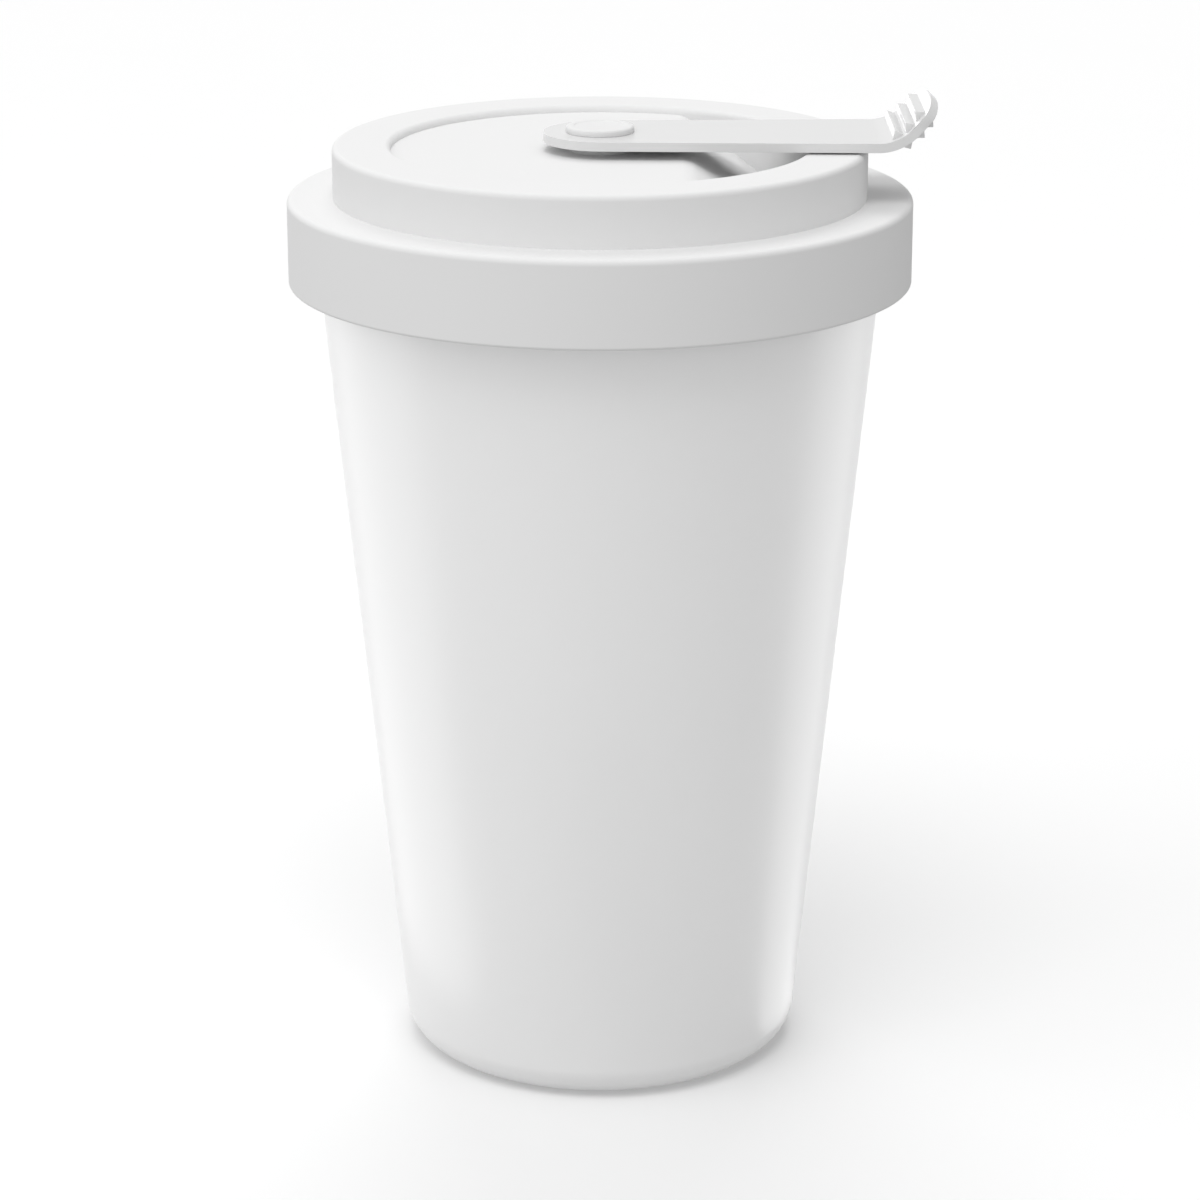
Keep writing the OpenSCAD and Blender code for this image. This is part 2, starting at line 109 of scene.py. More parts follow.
def moulded_plastic(name, colour, roughness, specular, ior, grain_width, grain_depth,
                    drift_depth=0.0, coat=0.0):
    """Injection moulding: the mould's own grain, over a slow unevenness of the wall."""
    material, tree, out = new_material(name)
    place = add_node(tree, "ShaderNodeTexCoord").outputs["Object"]
    grain = noise(tree, place, grain_width, 2.0, 0.6)
    # Sink and flow marks of a moulded wall are about 14 mm across.
    drift = noise(tree, place, 14 * MM, 2.0, 0.4)
    # Resin never mixes quite evenly: the colour drifts by up to 1.5 per cent.
    shaded = tuple(c * 0.985 for c in colour)
    tint = blend(tree, colour, shaded, drift.outputs["Fac"])
    polish = add_node(tree, "ShaderNodeMapRange",
                      values={"To Min": roughness - 0.03, "To Max": roughness + 0.03},
                      links={"Value": drift.outputs["Fac"]})
    wall = add_node(tree, "ShaderNodeBump", values={"Strength": 1.0, "Distance": drift_depth},
                    links={"Height": drift.outputs["Fac"]})
    bump = add_node(tree, "ShaderNodeBump", values={"Strength": 1.0, "Distance": grain_depth},
                    links={"Height": grain.outputs["Fac"], "Normal": wall.outputs["Normal"]})
    shader = add_node(tree, "ShaderNodeBsdfPrincipled",
                      values={"IOR": ior, "Specular IOR Level": specular, "Coat Weight": coat,
                              "Coat IOR": 2.0, "Coat Roughness": 0.85 * roughness},
                      links={"Base Color": tint.outputs["Result"], "Roughness": polish.outputs["Result"],
                             "Normal": bump.outputs["Normal"]})
    tree.links.new(shader.outputs["BSDF"], out.inputs["Surface"])
    return material


def turned_steel(name, colour, roughness, line_width, line_depth, anisotropy):
    """Stainless steel with fine lines that run round the axis."""
    material, tree, out = new_material(name)
    place = add_node(tree, "ShaderNodeTexCoord").outputs["Object"]
    # Long round the axis and one line high: X and Y are stretched forty times.
    along = add_node(tree, "ShaderNodeMapping", values={"Scale": (0.025, 0.025, 1.0)},
                     links={"Vector": place})
    lines = noise(tree, along.outputs["Vector"], line_width, 3.0, 0.7)
    polish = add_node(tree, "ShaderNodeMapRange",
                      values={"To Min": roughness - 0.06, "To Max": roughness + 0.08},
                      links={"Value": lines.outputs["Fac"]})
    bump = add_node(tree, "ShaderNodeBump", values={"Strength": 1.0, "Distance": line_depth},
                    links={"Height": lines.outputs["Fac"]})
    around = add_node(tree, "ShaderNodeTangent", {"direction_type": "RADIAL", "axis": "Z"})
    shader = add_node(tree, "ShaderNodeBsdfPrincipled",
                      values={"Base Color": (*colour, 1.0), "Metallic": 1.0, "Anisotropic": anisotropy},
                      links={"Roughness": polish.outputs["Result"], "Normal": bump.outputs["Normal"],
                             "Tangent": around.outputs["Tangent"]})
    tree.links.new(shader.outputs["BSDF"], out.inputs["Surface"])
    return material


def soft_rubber(name, colour, roughness, ior, glow_depth, dust_width):
    """Pressed silicone or rubber: matte, with a fine dusty bloom."""
    material, tree, out = new_material(name)
    place = add_node(tree, "ShaderNodeTexCoord").outputs["Object"]
    bloom = noise(tree, place, dust_width, 3.0, 0.65)
    dusty = tuple(c * 0.93 + 0.02 for c in colour)
    tint = blend(tree, colour, dusty, bloom.outputs["Fac"])
    polish = add_node(tree, "ShaderNodeMapRange",
                      values={"To Min": roughness - 0.08, "To Max": roughness + 0.08},
                      links={"Value": bloom.outputs["Fac"]})
    bump = add_node(tree, "ShaderNodeBump", values={"Strength": 1.0, "Distance": 0.004 * MM},
                    links={"Height": bloom.outputs["Fac"]})
    shader = add_node(tree, "ShaderNodeBsdfPrincipled",
                      values={"IOR": ior, "Subsurface Weight": 1.0 if glow_depth else 0.0,
                              "Subsurface Radius": (1.0, 1.0, 1.0),
                              "Subsurface Scale": glow_depth or MM},
                      links={"Base Color": tint.outputs["Result"], "Roughness": polish.outputs["Result"],
                             "Normal": bump.outputs["Normal"]})
    tree.links.new(shader.outputs["BSDF"], out.inputs["Surface"])
    return material


def gloss_abs(colour):
    # ABS from a polished mould: a wide soft gloss over an even white.
    return moulded_plastic("polished_abs", colour, roughness=0.35, specular=0.7, ior=1.54,
                           grain_width=0.5 * MM, grain_depth=0.0003 * MM, drift_depth=0.004 * MM, coat=1.0)


def grained_polypropylene(colour):
    # Polypropylene from a spark-eroded mould: almost matte.
    # The real grit is 0.05 mm across, drawn coarser so that it shows.
    return moulded_plastic("grained_polypropylene", colour, roughness=0.85, specular=0.1, ior=1.49,
                           grain_width=0.3 * MM, grain_depth=0.006 * MM)


def satin_acetal(colour):
    # Acetal, as levers that slide on a lid are: a little darker and smoother than the lid.
    return moulded_plastic("satin_acetal", colour, roughness=0.25, specular=0.4, ior=1.48,
                           grain_width=0.3 * MM, grain_depth=0.001 * MM, coat=0.6)


def natural_polypropylene(colour):
    # Food-safe polypropylene without a grain: the parts inside the lid.
    return moulded_plastic("natural_polypropylene", colour, roughness=0.42, specular=0.45, ior=1.49,
                           grain_width=0.4 * MM, grain_depth=0.001 * MM, drift_depth=0.003 * MM)


def spun_stainless(colour):
    # Drawn stainless sheet, brushed while it turned: light drawn out across the brushing.
    return turned_steel("spun_stainless", colour, roughness=0.3, line_width=0.12 * MM,
                        line_depth=0.0012 * MM, anisotropy=0.6)


def machined_stainless(colour):
    # A turned screw: the same steel with a finer, brighter cut.
    return turned_steel("machined_stainless", colour, roughness=0.22, line_width=0.06 * MM,
                        line_depth=0.001 * MM, anisotropy=0.3)


def pressed_silicone(colour):
    # White silicone: matte, and light goes a little way in.
    return soft_rubber("pressed_silicone", colour, roughness=0.6, ior=1.41, glow_depth=0.6 * MM,
                       dust_width=0.2 * MM)


def nitrile_rubber(colour):
    # A black sealing ring: matte with a faint grey bloom.
    return soft_rubber("nitrile_rubber", colour, roughness=0.55, ior=1.52, glow_depth=0.0,
                       dust_width=0.15 * MM)


# Mesh helpers


def only(items, kind):
    """The items of one kind among those that an operator has made."""
    return [item for item in items if isinstance(item, kind)]


def round_corner(bm, corner, radius, segments):
    """Rounds a corner of a flat section to an arc of the given radius."""
    ways = [edge.other_vert(corner).co - corner.co for edge in corner.link_edges]
    half_turn = (math.pi - ways[0].angle(ways[1])) / 2
    bmesh.ops.bevel(bm, geom=[corner], offset=radius * math.tan(half_turn), offset_type="OFFSET",
                    segments=segments, profile=0.5, affect="VERTICES", material=-1, clamp_overlap=False)


def section(corners, flat_axis=1):
    """A flat face from its corners (across, up, rounding) in millimetres. flat_axis stays at nought."""
    bm = bmesh.new()
    made = []
    for across, up, rounding in corners:
        place = [across * MM, up * MM]
        place.insert(flat_axis, 0.0)
        made.append(bm.verts.new(place))
    bm.faces.new(made)
    for corner, (across, up, rounding) in zip(made, corners):
        if rounding:
            segments = 4 if rounding < 0.5 else 8
            round_corner(bm, corner, rounding * MM, segments)
    return bm


def turned(corners, steps):
    """A solid turned about Z from the corners (radius, height, rounding) of its section, in millimetres."""
    bm = section(corners)
    bmesh.ops.delete(bm, geom=bm.faces[:], context="FACES_ONLY")
    on_axis = [edge for edge in bm.edges if all(abs(end.co.x) < 1e-9 for end in edge.verts)]
    bmesh.ops.delete(bm, geom=on_axis, context="EDGES")
    bmesh.ops.spin(bm, geom=bm.verts[:] + bm.edges[:], cent=(0, 0, 0), axis=(0, 0, 1), angle=FULL_TURN,
                   steps=steps, use_merge=True)
    bmesh.ops.remove_doubles(bm, verts=bm.verts[:], dist=MERGE)
    bmesh.ops.recalc_face_normals(bm, faces=bm.faces[:])
    return bm


def extruded(bm, way):
    """Turns a flat face into a solid by drawing it along a vector."""
    drawn = bmesh.ops.extrude_face_region(bm, geom=bm.faces[:], use_keep_orig=True)
    bmesh.ops.translate(bm, verts=only(drawn["geom"], bmesh.types.BMVert), vec=way)
    bmesh.ops.recalc_face_normals(bm, faces=bm.faces[:])
    return bm


def cylinder(radius, low, high, centre=(0.0, 0.0), segments=96):
    """A cylinder along Z between two heights, in millimetres."""
    bm = bmesh.new()
    bmesh.ops.create_cone(bm, cap_ends=True, segments=segments, radius1=radius * MM, radius2=radius * MM,
                          depth=(high - low) * MM)
    middle = (centre[0] * MM, centre[1] * MM, (low + high) / 2 * MM)
    bmesh.ops.translate(bm, verts=bm.verts[:], vec=middle)
    return bm


def flatted_shaft(radius, half, low, high):
    """A shaft with two flats, in millimetres."""
    bm = cylinder(radius, low, high)
    for side in (-1, 1):
        cut = bmesh.ops.bisect_plane(bm, geom=bm.verts[:] + bm.edges[:] + bm.faces[:], clear_outer=True,
                                     plane_co=(0, side * half * MM, 0), plane_no=(0, side, 0))
        bmesh.ops.edgenet_fill(bm, edges=only(cut["geom_cut"], bmesh.types.BMEdge))
    bmesh.ops.recalc_face_normals(bm, faces=bm.faces[:])
    return bm


def poured(bm, other):
    """Adds another mesh to this one, as a shell of its own."""
    data = bpy.data.meshes.new("poured")
    other.to_mesh(data)
    other.free()
    bm.from_mesh(data)
    bpy.data.meshes.remove(data)


def linked_object(name, bm):
    """An object at the origin that holds the mesh."""
    data = bpy.data.meshes.new(name)
    bm.to_mesh(data)
    bm.free()
    obj = bpy.data.objects.new(name, data)
    bpy.context.scene.collection.objects.link(obj)
    return obj


def carved(bm, tools):
    """The mesh after each tool (operation, mesh) has cut it, joined it or trimmed it to what both share."""
    body = linked_object("carved", bm)
    for operation, tool_mesh in tools:
        tool = linked_object("tool", tool_mesh)
        step = body.modifiers.new("carve", "BOOLEAN")
        step.operation, step.solver, step.object = operation, "EXACT", tool
        shown = body.evaluated_get(bpy.context.evaluated_depsgraph_get())
        data = bpy.data.meshes.new_from_object(shown)
        body.modifiers.clear()
        old, body.data = body.data, data
        bpy.data.meshes.remove(old)
        bpy.data.meshes.remove(tool.data)
    result = bmesh.new()
    result.from_mesh(body.data)
    bpy.data.meshes.remove(body.data)
    bmesh.ops.remove_doubles(result, verts=result.verts[:], dist=MERGE)
    return result


def finished(name, bm, body, node, material, edge=0.0):
    """The piece: smooth, softened along its edges, riding on a body and standing for a CAD node."""
    obj = linked_object(name, bm)
    obj.data.materials.append(material)
    obj.data.shade_smooth()
    if edge:
        soft = obj.modifiers.new("soft_edges", "BEVEL")
        soft.width, soft.segments, soft.limit_method, soft.angle_limit = edge, 3, "ANGLE", SHARP_ANGLE
    else:
        obj.data.set_sharp_from_angle(angle=SHARP_ANGLE)
    even = obj.modifiers.new("even_shading", "WEIGHTED_NORMAL")
    even.mode, even.weight, even.keep_sharp = "FACE_AREA", 50, True
    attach(obj, body)
    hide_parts(node)


def dress(node, material):
    """Gives a CAD node its finish."""
    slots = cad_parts[node].data.materials
    slots.clear()
    slots.append(material)


# Sizes and colours


def length(name, description, millimetres):
    """A length property, kept in metres."""
    return bpy.props.FloatProperty(name=name, description=description, default=millimetres * MM,
                                   subtype="DISTANCE", unit="LENGTH", precision=5)


def turn_angle(name, description, radians):
    """An angle property."""
    return bpy.props.FloatProperty(name=name, description=description, default=radians,
                                   subtype="ANGLE", unit="ROTATION")


def level(name, description, value, highest):
    """A plain number from nought up."""
    return bpy.props.FloatProperty(name=name, description=description, default=value, min=0.0, max=highest)


def paint(name, description, hex_colour):
    """A colour property from an sRGB hex value."""
    return bpy.props.FloatVectorProperty(name=name, description=description, default=linear(hex_colour),
                                         subtype="COLOR", size=3, min=0.0, max=1.0)


CUP_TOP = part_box("outer_shell")[1]
LID_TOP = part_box("lid_shell")[1]


class MugCupSettings(bpy.types.PropertyGroup):
    """The cup's two walls."""
    mouth_radius: length("Mouth radius", "Radius of the outer wall at its top", CUP_TOP.x / MM)
    foot_radius: length("Foot radius", "Radius of the outer wall's line at the standing plane", 30.65)
    height: length("Height", "Height of the outer wall", CUP_TOP.z / MM)
    corner: length("Bottom corner", "Radius of the rounded bottom corner", 5.7)
    wall: length("Wall", "Thickness of the outer wall", 2.0)
    floor: length("Floor", "Thickness of the outer wall's floor", 3.2)
    foot_ring: length("Foot ring", "Inner radius of the foot ring", 20.0)
    foot_recess: length("Foot recess", "Depth of the hollow inside the foot ring", 1.0)
    liner_gap: length("Air gap", "Space between the walls", 3.0)
    liner_wall: length("Liner wall", "Thickness of the steel liner", 0.6)
    liner_corner: length("Liner corner", "Radius of the liner's rounded corner", 6.0)
    steps: bpy.props.IntProperty(name="Steps", description="Faces round the cup", default=192,
                                 min=48, max=512)
    colour: paint("Shell colour", "Colour of the outer shell", "#EFEFEF")
    steel: paint("Liner colour", "Colour of the steel liner", "#C9CACC")


class MugLidSettings(bpy.types.PropertyGroup):
    """The lid's band, ring, recess and plug."""
    band_radius: length("Band radius", "Radius of the wide band", LID_TOP.x / MM)
    band_low: length("Band foot", "Height of the band's bottom edge", 123.6)
    band_top: length("Band top", "Height of the shoulder", 136.7)
    ring_radius: length("Ring radius", "Radius of the raised ring", 40.55)
    top: length("Top", "Height of the ring's flat top", 144.5)
    recess_radius: length("Recess radius", "Radius of the round recess", 31.7)
    deck: length("Deck", "Height of the deck in the recess", 143.4)
    deck_edge: length("Deck edge", "Distance from the pivot to the deck's straight edge", 13.4)
    trough: length("Trough", "Height of the trough at the drink slot", 135.3)
    trough_start: length("Trough start", "Distance from the pivot to the foot of the ramp", 26.066)
    wall: length("Wall", "Wall thickness of the moulding", 2.2)
    colour: paint("Lid colour", "Colour of the lid", "#E9E9E9")
    insert_colour: paint("Insert colour", "Colour of the plug under the lid", "#EDEDEC")
    gasket_colour: paint("Gasket colour", "Colour of the silicone gasket", "#E4E6E6")


class MugLeverSettings(bpy.types.PropertyGroup):
    """The lever and its thumb tab."""
    low: length("Underside", "Height of the lever's underside", 144.8)
    thickness: length("Thickness", "Thickness of the lever's plate", 1.4)
    pivot_half: length("Half width at pivot", "Half of the lever's width at the pivot", 9.1)
    tab_half: length("Half width at tab", "Half of the lever's width at the thumb tab", 10.3)
    end_x: length("End centre", "Distance of the round end's centre from the pivot", 0.5)
    tab_x: length("Bend start", "Distance from the pivot to the start of the bend", 41.45)
    bend_radius: length("Bend radius", "Inside radius of the bend", 6.9)
    tab_length: length("Tab length", "Length of the tab along its top face", 10.46)
    tab_round: length("Tab rounding", "Length of the tab's rounded end", 2.43)
    bend: turn_angle("Bend", "Angle that the tab is bent up to", math.radians(47.4))
    teeth: bpy.props.IntProperty(name="Teeth", description="Teeth on each face of the tab", default=3,
                                 min=0, max=3)
    tooth_start: length("First tooth", "Distance along the tab to the first tooth's ridge", 3.1)
    tooth_pitch: length("Tooth pitch", "Distance from one ridge to the next", 2.24)
    tooth_width: length("Tooth width", "Width of a tooth at its foot", 1.95)
    tooth_height: length("Tooth height", "Height of a tooth", 1.1)
    under_start: length("First tooth below", "Distance along the tab to the first ridge below", 3.8)
    under_pitch: length("Tooth pitch below", "Distance between ridges below, along the top face", 1.96)
    tooth_half: length("Tooth half length", "Half of a tooth's length at its foot", 8.9)
    edge: length("Edge", "Rounding of the lever's edges", 0.11)
    colour: paint("Lever colour", "Colour of the lever", "#DDDDDD")


class MugPinSettings(bpy.types.PropertyGroup):
    """The pivot pin, the shutter that it turns, and their seals."""
    head_radius: length("Head radius", "Radius of the pin's head", 5.2)
    head_height: length("Head height", "Height of the pin's head", 0.95)
    head_edge: length("Head edge", "Rounding of the head's edge", 0.4)
    dish_radius: length("Dish radius", "Radius of the shallow dish in the head", 4.0)
    dish_depth: length("Dish depth", "Depth of the shallow dish in the head", 0.12)
    shaft_radius: length("Shaft radius", "Radius of the pin's shaft", 3.2)
    flat_half: length("Flats", "Half of the distance across the shaft's flats", 2.5)
    colour: paint("Pin colour", "Colour of the pin's head", "#E6E6E6")
    shutter_colour: paint("Shutter colour", "Colour of the shutter", "#EDEDEC")
    ring_colour: paint("Ring colour", "Colour of the pin's sealing ring", "#232324")
    screw_colour: paint("Screw colour", "Colour of the screw", "#C4C5C7")


class MugStageSettings(bpy.types.PropertyGroup):
    """The camera, the lamps and the floor."""
    camera_back: length("Camera distance", "Distance of the camera in front of the cup's axis", 571.07)
    camera_height: length("Camera height", "Height of the camera above the floor", 252.15)
    camera_down: turn_angle("Camera tilt", "Angle that the camera looks down", 0.30579)
    focal_length: bpy.props.FloatProperty(name="Focal length", default=114.37, min=20.0, max=300.0,
                                          description="Focal length of the lens in millimetres")
    sky: level("Sky", "Strength of the even light from all round", 0.74, 2.0)
    sky_lean: bpy.props.FloatVectorProperty(name="Sky lean", default=(-0.2, -0.1, 0.2), subtype="XYZ", size=3,
                                            description="Direction that more of the light comes from")
    room: level("Room", "Brightness of the room in front, where gloss mirrors it", 0.45, 1.0)
    key: bpy.props.FloatProperty(name="Key", description="Power of the softbox on the left",
                                 default=1.0, min=0.0, max=50.0, subtype="POWER", unit="POWER")
    front: level("Front bank", "Strength of the bank of lamps overhead in front", 0.76, 10.0)
    cards: level("Cards", "Brightness of the white cards that the gloss mirrors", 1.45, 4.0)
    rear: level("Rear bank", "Strength of the bank of lamps overhead behind", 0.6, 10.0)
    paper: paint("Paper", "Colour of the paper floor", "#F8F8F8")


# Cup


def cup_wall(c, inset, low):
    """Radius of the outer wall, moved in by inset, at height low. In millimetres."""
    slope = (c.mouth_radius - c.foot_radius) / c.height
    return c.foot_radius / MM + slope * low - inset


class MUG_OT_shell(bpy.types.Operator):
    """Model the glossy outer shell of the cup"""
    bl_idname = "mug.shell"
    bl_label = "Outer Shell"

    def execute(self, context):
        c = context.scene.mug_cup
        top, floor, wall = c.height / MM, c.floor / MM, c.wall / MM
        ring, hollow = c.foot_ring / MM, c.foot_recess / MM
        bm = turned([
            (0, hollow, 0),
            (ring - hollow, hollow, 0.4),
            (ring, 0, 0.6),
            (cup_wall(c, 0, 0), 0, c.corner / MM),
            (cup_wall(c, 0, top), top, 0.25),
            (cup_wall(c, wall, top), top, 0.25),
            (cup_wall(c, wall, floor), floor, c.corner / MM - wall),
            (0, floor, 0),
        ], c.steps)
        finished("cup_outer_shell", bm, "cup", "outer_shell",
                 gloss_abs(tuple(c.colour)))
        return {"FINISHED"}


class MUG_OT_liner(bpy.types.Operator):
    """Model the spun steel liner and its rolled rim"""
    bl_idname = "mug.liner"
    bl_label = "Steel Liner"

    def execute(self, context):
        c = context.scene.mug_cup
        gauge, top = c.liner_wall / MM, c.height / MM
        inset = (c.wall + c.liner_gap) / MM
        floor = (c.floor + c.liner_gap) / MM
        rim = cup_wall(c, 0.25, top)
        bm = turned([
            (0, floor, 0),
            (cup_wall(c, inset, floor), floor, c.liner_corner / MM + gauge),
            (cup_wall(c, inset, top), top, 0.3),
            (rim, top, 0.28),
            (rim, top + gauge, 0.28),
            (cup_wall(c, inset + gauge, top + gauge), top + gauge, 0.5),
            (cup_wall(c, inset + gauge, floor + gauge), floor + gauge, c.liner_corner / MM),
            (0, floor + gauge, 0),
        ], c.steps)
        finished("cup_steel_liner", bm, "cup", "inner_liner",
                 spun_stainless(tuple(c.steel)))
        return {"FINISHED"}


# Lid


def slot_plan(grow, low, high):
    """The drink slot as a solid, from its arc's half width and angle. In millimetres and degrees."""
    middle, half = SLOT_RADIUS, SLOT_HALF_WIDTH + grow
    bm = bmesh.new()
    bm.edges.new([bm.verts.new(((middle + side * half) * MM, 0, low * MM)) for side in (-1, 1)])
    bmesh.ops.rotate(bm, verts=bm.verts[:], cent=(0, 0, 0),
                     matrix=Matrix.Rotation(math.radians(-SLOT_HALF_ANGLE), 3, "Z"))
    bmesh.ops.spin(bm, geom=bm.verts[:] + bm.edges[:], cent=(0, 0, 0), axis=(0, 0, 1),
                   angle=math.radians(2 * SLOT_HALF_ANGLE), steps=16)
    extruded(bm, (0, 0, (high - low) * MM))
    tools = []
    for side in (-1, 1):
        angle = math.radians(side * SLOT_HALF_ANGLE)
        end = (middle * math.cos(angle), middle * math.sin(angle))
        tools.append(("UNION", cylinder(half, low, high, end, 48)))
    return carved(bm, tools)


class MUG_OT_lid(bpy.types.Operator):
    """Model the lid moulding with its band, ring, deck, ramp and drink slot"""
    bl_idname = "mug.lid"
    bl_label = "Lid"

    def execute(self, context):
        s = context.scene.mug_lid
        c = context.scene.mug_cup
        wall, top, band, low = s.wall / MM, s.top / MM, s.band_top / MM, s.band_low / MM
        deck, trough, edge, foot = s.deck / MM, s.trough / MM, s.deck_edge / MM, s.trough_start / MM
        band_r, ring_r, recess_r = s.band_radius / MM, s.ring_radius / MM, s.recess_radius / MM
        # The ramp's underside lies one wall below it, so its corners are moved back by this much.
        under = wall * math.tan(math.atan2(deck - trough, foot - edge) / 2)
        bm = turned([
            (band_r, low, 0.5),
            (band_r, band, 0.9),
            (ring_r, band, 0.0),
            (ring_r, top, 0.9),
            (recess_r, top, 0.9),
            (recess_r, trough - wall, 0),
            (recess_r + wall, trough - wall, 0),
            (recess_r + wall, top - wall, 0.3),
            (ring_r - wall, top - wall, 0.3),
            (ring_r - wall, band - wall, 0.3),
            (band_r - wall, band - wall, 0.3),
            (band_r - wall, low, 0.4),
        ], c.steps)
        # The recess's floor is drawn out past the recess and then cut to its round.
        past = 40
        floor = extruded(section([
            (-past, deck, 0),
            (edge, deck, 4.0),
            (foot, trough, 0.3),
            (past, trough, 0),
            (past, trough - wall, 0),
            (foot - under, trough - wall, 0.5),
            (edge - under, deck - wall, 0.5),
            (-past, deck - wall, 0),
        ]), (0, 2 * past * MM, 0))
        bmesh.ops.translate(floor, verts=floor.verts[:], vec=(0, -past * MM, 0))
        boss_radius, boss_low, seat_radius = 5.6, 134.0, 4.6
        lip, lip_low, cut_low = 1.6, 132.7, 130.0
        tools = [
            ("INTERSECT", cylinder(recess_r + wall / 2, trough - 2 * wall, top, segments=c.steps)),
            ("UNION", cylinder(boss_radius, boss_low, deck - 0.5)),
            ("UNION", cylinder(seat_radius, deck - 1.0, top)),
            ("UNION", slot_plan(lip, lip_low, trough - 0.5)),
            ("DIFFERENCE", slot_plan(0.0, cut_low, top)),
            ("DIFFERENCE", cylinder(BORE_RADIUS, cut_low, top + 2)),
        ]
        for side in (-1, 1):
            angle = math.radians(side * VENT_ANGLE)
            spot = (SLOT_RADIUS * math.cos(angle), SLOT_RADIUS * math.sin(angle))
            tools.append(("DIFFERENCE", cylinder(VENT_RADIUS, cut_low, top, spot, 24)))
        poured(bm, carved(floor, tools))
        finished("lid_moulding", bm, "lid", "lid_shell",
                 grained_polypropylene(tuple(s.colour)))
        return {"FINISHED"}


class MUG_OT_plug(bpy.types.Operator):
    """Finish the insert under the lid and its silicone gasket"""
    bl_idname = "mug.plug"
    bl_label = "Insert and Gasket"

    def execute(self, context):
        s = context.scene.mug_lid
        dress("lid_insert", natural_polypropylene(tuple(s.insert_colour)))
        dress("lid_gasket", pressed_silicone(tuple(s.gasket_colour)))
        return {"FINISHED"}


# Lever


def tooth(v, half):
    """One thumb tooth with sloping ends, its foot sunk a little below nought."""
    sink, ridge_inset, ridge_share = 0.3 * MM, 0.6 * MM, 0.06
    bm = bmesh.new()
    bmesh.ops.create_cube(bm, size=1.0)
    bmesh.ops.scale(bm, verts=bm.verts[:], vec=(v.tooth_width, 2 * half, v.tooth_height))
    bmesh.ops.translate(bm, verts=bm.verts[:], vec=(0, 0, v.tooth_height / 2))
    ridge = [corner for corner in bm.verts if corner.co.z > v.tooth_height / 2]
    bmesh.ops.scale(bm, verts=ridge, vec=(ridge_share, (half - ridge_inset) / half, 1.0))
    foot = [face for face in bm.faces if face.normal.z < -0.5]
    drawn = bmesh.ops.extrude_face_region(bm, geom=foot)
    bmesh.ops.translate(bm, verts=only(drawn["geom"], bmesh.types.BMVert), vec=(0, 0, -sink))
    bmesh.ops.recalc_face_normals(bm, faces=bm.faces[:])
    return bm


class MUG_OT_lever(bpy.types.Operator):
    """Model the flat lever with its bent thumb tab and teeth"""
    bl_idname = "mug.lever"
    bl_label = "Lever"

    def execute(self, context):
        v = context.scene.mug_lever
        low, thick, tab_x = v.low / MM, v.thickness / MM, v.tab_x / MM
        pivot_half, tab_half, end_x = v.pivot_half / MM, v.tab_half / MM, v.end_x / MM
        slope = (tab_half - pivot_half) / (tab_x - end_x)
        back = end_x - pivot_half
        back_half = pivot_half - slope * pivot_half
        # Both rounded corners meet in the middle of the end. A little less than half keeps them apart.
        round_end = back_half / math.tan(math.radians(90) / 2 - math.atan(slope) / 2) * 0.999
        bm = section([(back, -back_half, round_end), (tab_x, -tab_half, 0), (tab_x, tab_half, 0),
                      (back, back_half, round_end)], flat_axis=2)
        extruded(bm, (0, 0, thick * MM))
        bmesh.ops.translate(bm, verts=bm.verts[:], vec=(0, 0, low * MM))
        ends = [face for face in bm.faces if face.normal.x > 0.9]
        centre = Vector((v.tab_x, 0, v.low + v.thickness + v.bend_radius))
        rim = [e for f in ends for e in f.edges] + [p for f in ends for p in f.verts]
        bent = bmesh.ops.spin(bm, geom=ends + rim, cent=centre, axis=(0, -1, 0), angle=v.bend, steps=16)
        tip = only(bent["geom_last"], bmesh.types.BMFace)
        along = Vector((math.cos(v.bend), 0, math.sin(v.bend)))
        straight = v.tab_length - v.bend_radius * v.bend - v.tab_round
        done, width, tip_steps = 0.0, 1.0, 10
        for step in range(tip_steps + 1):
            angle = math.radians(90 * step / tip_steps)
            reach = straight + v.tab_round * math.sin(angle)
            half = max(math.cos(angle), 1e-4)
            drawn = bmesh.ops.extrude_face_region(bm, geom=tip)
            tip = only(drawn["geom"], bmesh.types.BMFace)
            new = only(drawn["geom"], bmesh.types.BMVert)
            bmesh.ops.translate(bm, verts=new, vec=along * (reach - done))
            bmesh.ops.scale(bm, verts=new, vec=(1, half / width, 1))
            done, width = reach, half
        # The tab's end narrows to almost nothing: its last points are brought together.
        bmesh.ops.remove_doubles(bm, verts=bm.verts[:], dist=2e-6)
        hole = flatted_shaft(BORE_RADIUS, BORE_FLAT_HALF, low - 1, low + thick + 1)
        bm = carved(bm, [("DIFFERENCE", hole)])
        arc = v.bend_radius * v.bend
        for i in range(v.teeth):
            # The last tooth is shorter, because the tab narrows there.
            half = v.tooth_half - (0.9 * MM if i == v.teeth - 1 else 0.0)
            for start, pitch, depth, flip in ((v.tooth_start, v.tooth_pitch, 0.0, 0.0),
                                              (v.under_start, v.under_pitch, v.thickness, math.pi)):
                run = start + i * pitch
                angle = min(run / v.bend_radius, v.bend)
                past = max(0.0, run - arc)
                reach = v.bend_radius + depth
                foot = centre + Vector((reach * math.sin(angle) + past * math.cos(v.bend), 0,
                                        -reach * math.cos(angle) + past * math.sin(v.bend)))
                one = tooth(v, half)
                turn = Matrix.Translation(foot) @ Matrix.Rotation(flip - angle, 4, "Y")
                bmesh.ops.transform(one, matrix=turn, verts=one.verts[:])
                poured(bm, one)
        finished("lever_plate", bm, "lever", "lever",
                 satin_acetal(tuple(v.colour)), v.edge)
        return {"FINISHED"}


# Pin and shutter


